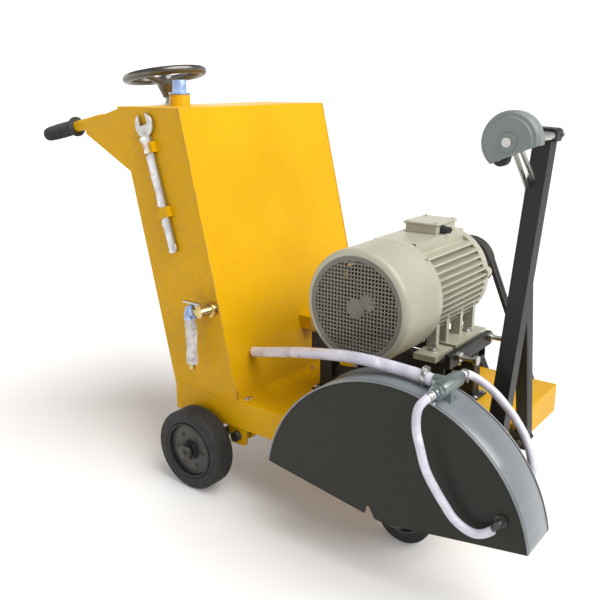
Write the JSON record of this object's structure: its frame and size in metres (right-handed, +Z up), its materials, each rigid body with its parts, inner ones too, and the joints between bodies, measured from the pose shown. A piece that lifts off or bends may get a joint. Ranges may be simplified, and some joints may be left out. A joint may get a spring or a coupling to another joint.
{
  "type": "walk-behind concrete saw",
  "caption": "Walk-behind concrete saw with electric motor, leaning water tank, blade guard, water hoses, lifting handwheel and folding guide roller.",
  "frame": {"origin": "floor under the middle of the machine", "axes": "+X forward, away from the operator's handles, +Y to the operator's left, +Z up"},
  "size_m": [1.4755, 0.8233, 1.04],
  "materials": {
    "yellow_paint": "gloss",
    "black_paint": "satin",
    "guard_grey": "satin",
    "rim_grey": "satin",
    "motor_grey": "satin",
    "cover_grey": "satin",
    "bright_steel": "brushed",
    "dark_iron": "rough",
    "rubber": "matte",
    "tyre": "matte",
    "brass": "satin",
    "clear_hose": "gloss",
    "black_plastic": "matte",
    "blue_cap": "gloss",
    "grille_dark": "satin"
  },
  "bodies": {
    "frame": {"chassis_tray": "yellow_paint", "cross_members": "yellow_paint", "tank_walls": "yellow_paint", "tank_sides": "yellow_paint", "tank_ends": "yellow_paint", "screw_brackets": "yellow_paint", "splash_ledge": "yellow_paint", "handle_frames": "yellow_paint", "hand_grips": "rubber", "wrench_clips": "yellow_paint", "tap_body": "brass", "motor_stand": "black_paint", "slide_rails": "black_paint", "tension_bolts": "bright_steel", "motor_frame": "motor_grey", "drive_end_bell": "motor_grey", "fan_cover": "motor_grey", "fan_grille": "grille_dark", "terminal_box": "motor_grey", "cable_gland": "black_plastic", "stator_core": "dark_iron", "ball_bearings": "bright_steel", "v_belts": "rubber", "bearing_blocks": "dark_iron", "support_brackets": "yellow_paint", "fixed_shafts": "bright_steel", "guard_outer": "guard_grey", "guard_inner": "guard_grey", "guard_rim": "rim_grey", "hinge_lugs": "black_paint", "spray_nozzles": "bright_steel", "hose_tee": "bright_steel", "hose_clips": "bright_steel", "main_hose": "clear_hose", "branch_hoses": "clear_hose", "frame_bolts": "bright_steel"},
    "swing": {"swing_frame": "yellow_paint"},
    "front_wheel_r": {"front_wheel_right": "rubber"},
    "front_wheel_l": {"front_wheel_left": "rubber"},
    "rear_wheel_r": {"rear_tyre_right": "tyre", "rear_hub_right": "black_paint"},
    "rear_wheel_l": {"rear_tyre_left": "tyre", "rear_hub_left": "black_paint"},
    "screw": {"hand_wheel": "dark_iron", "lift_screw": "bright_steel"},
    "nut": {"screw_nut": "dark_iron"},
    "spindle": {"spindle_shaft": "bright_steel", "spindle_pulley": "dark_iron", "blade_flanges": "dark_iron"},
    "rotor": {"rotor_shaft": "bright_steel", "cooling_fan": "black_plastic", "motor_pulley": "dark_iron"},
    "guide": {"guide_near_leg": "black_paint", "guide_far_leg": "black_paint", "guide_axle": "bright_steel", "guide_cover": "cover_grey"},
    "roller": {"guide_wheel": "rubber"},
    "tap_handle": {"tap_lever": "bright_steel"},
    "cap": {"filler_cap": "blue_cap"},
    "spanner": {"wrench": "bright_steel"}
  },
  "joints": [
    {"name": "handwheel_turn", "type": "hinge", "parent": "frame", "child": "screw", "pos_m": [-0.4453, -0.0523, 0.938], "axis": [-0.1564, 0, 0.9877], "range_deg": [0, 5040]},
    {"name": "nut_travel", "type": "slide", "parent": "frame", "child": "nut", "axis": [-0.1564, 0, 0.9877], "range_m": [0, 0.0841]},
    {"name": "swing_pivot", "type": "hinge", "parent": "frame", "child": "swing", "pos_m": [-0.0503, 0.0377, 0.147], "axis": [0, 1, 0], "range_deg": [0, 17.61]},
    {"name": "front_right_spin", "type": "hinge", "parent": "swing", "child": "front_wheel_r", "pos_m": [0.3997, -0.1873, 0.068], "axis": [0, 1, 0], "continuous": true},
    {"name": "front_left_spin", "type": "hinge", "parent": "swing", "child": "front_wheel_l", "pos_m": [0.3997, 0.2627, 0.068], "axis": [0, 1, 0], "continuous": true},
    {"name": "rear_right_spin", "type": "hinge", "parent": "frame", "child": "rear_wheel_r", "pos_m": [-0.1513, -0.2933, 0.104], "axis": [0, 1, 0], "continuous": true},
    {"name": "rear_left_spin", "type": "hinge", "parent": "frame", "child": "rear_wheel_l", "pos_m": [-0.1513, 0.3687, 0.104], "axis": [0, 1, 0], "continuous": true},
    {"name": "rotor_spin", "type": "hinge", "parent": "frame", "child": "rotor", "pos_m": [0.2687, 0.0477, 0.527], "axis": [0, 1, 0], "continuous": true},
    {"name": "spindle_spin", "type": "hinge", "parent": "frame", "child": "spindle", "pos_m": [0.4417, 0.0477, 0.15], "axis": [0, 1, 0], "continuous": true},
    {"name": "guide_fold", "type": "hinge", "parent": "frame", "child": "guide", "pos_m": [0.5717, -0.1433, 0.213], "axis": [0, 1, 0], "range_deg": [0, 98]},
    {"name": "guide_roller_spin", "type": "hinge", "parent": "guide", "child": "roller", "pos_m": [0.61065, -0.3023, 0.87386], "axis": [0, 1, 0], "continuous": true},
    {"name": "tap_turn", "type": "hinge", "parent": "frame", "child": "tap_handle", "pos_m": [-0.1273, -0.2923, 0.483], "axis": [0, 0, 1], "range_deg": [0, 90]},
    {"name": "cap_lift", "type": "slide", "parent": "frame", "child": "cap", "axis": [0, 0, 1], "range_m": [0, 0.04]},
    {"name": "wrench_slide", "type": "slide", "parent": "frame", "child": "spanner", "axis": [-0.2656, 0, 0.9641], "range_m": [0, 0.28]}
  ],
  "couplings": [
    {"joint": "nut_travel", "follows": "handwheel_turn", "m_per_rad": 0.00095493},
    {"joint": "swing_pivot", "follows": "handwheel_turn", "ratio": 0.0034921},
    {"joint": "spindle_spin", "follows": "rotor_spin", "ratio": 1.1731}
  ]
}
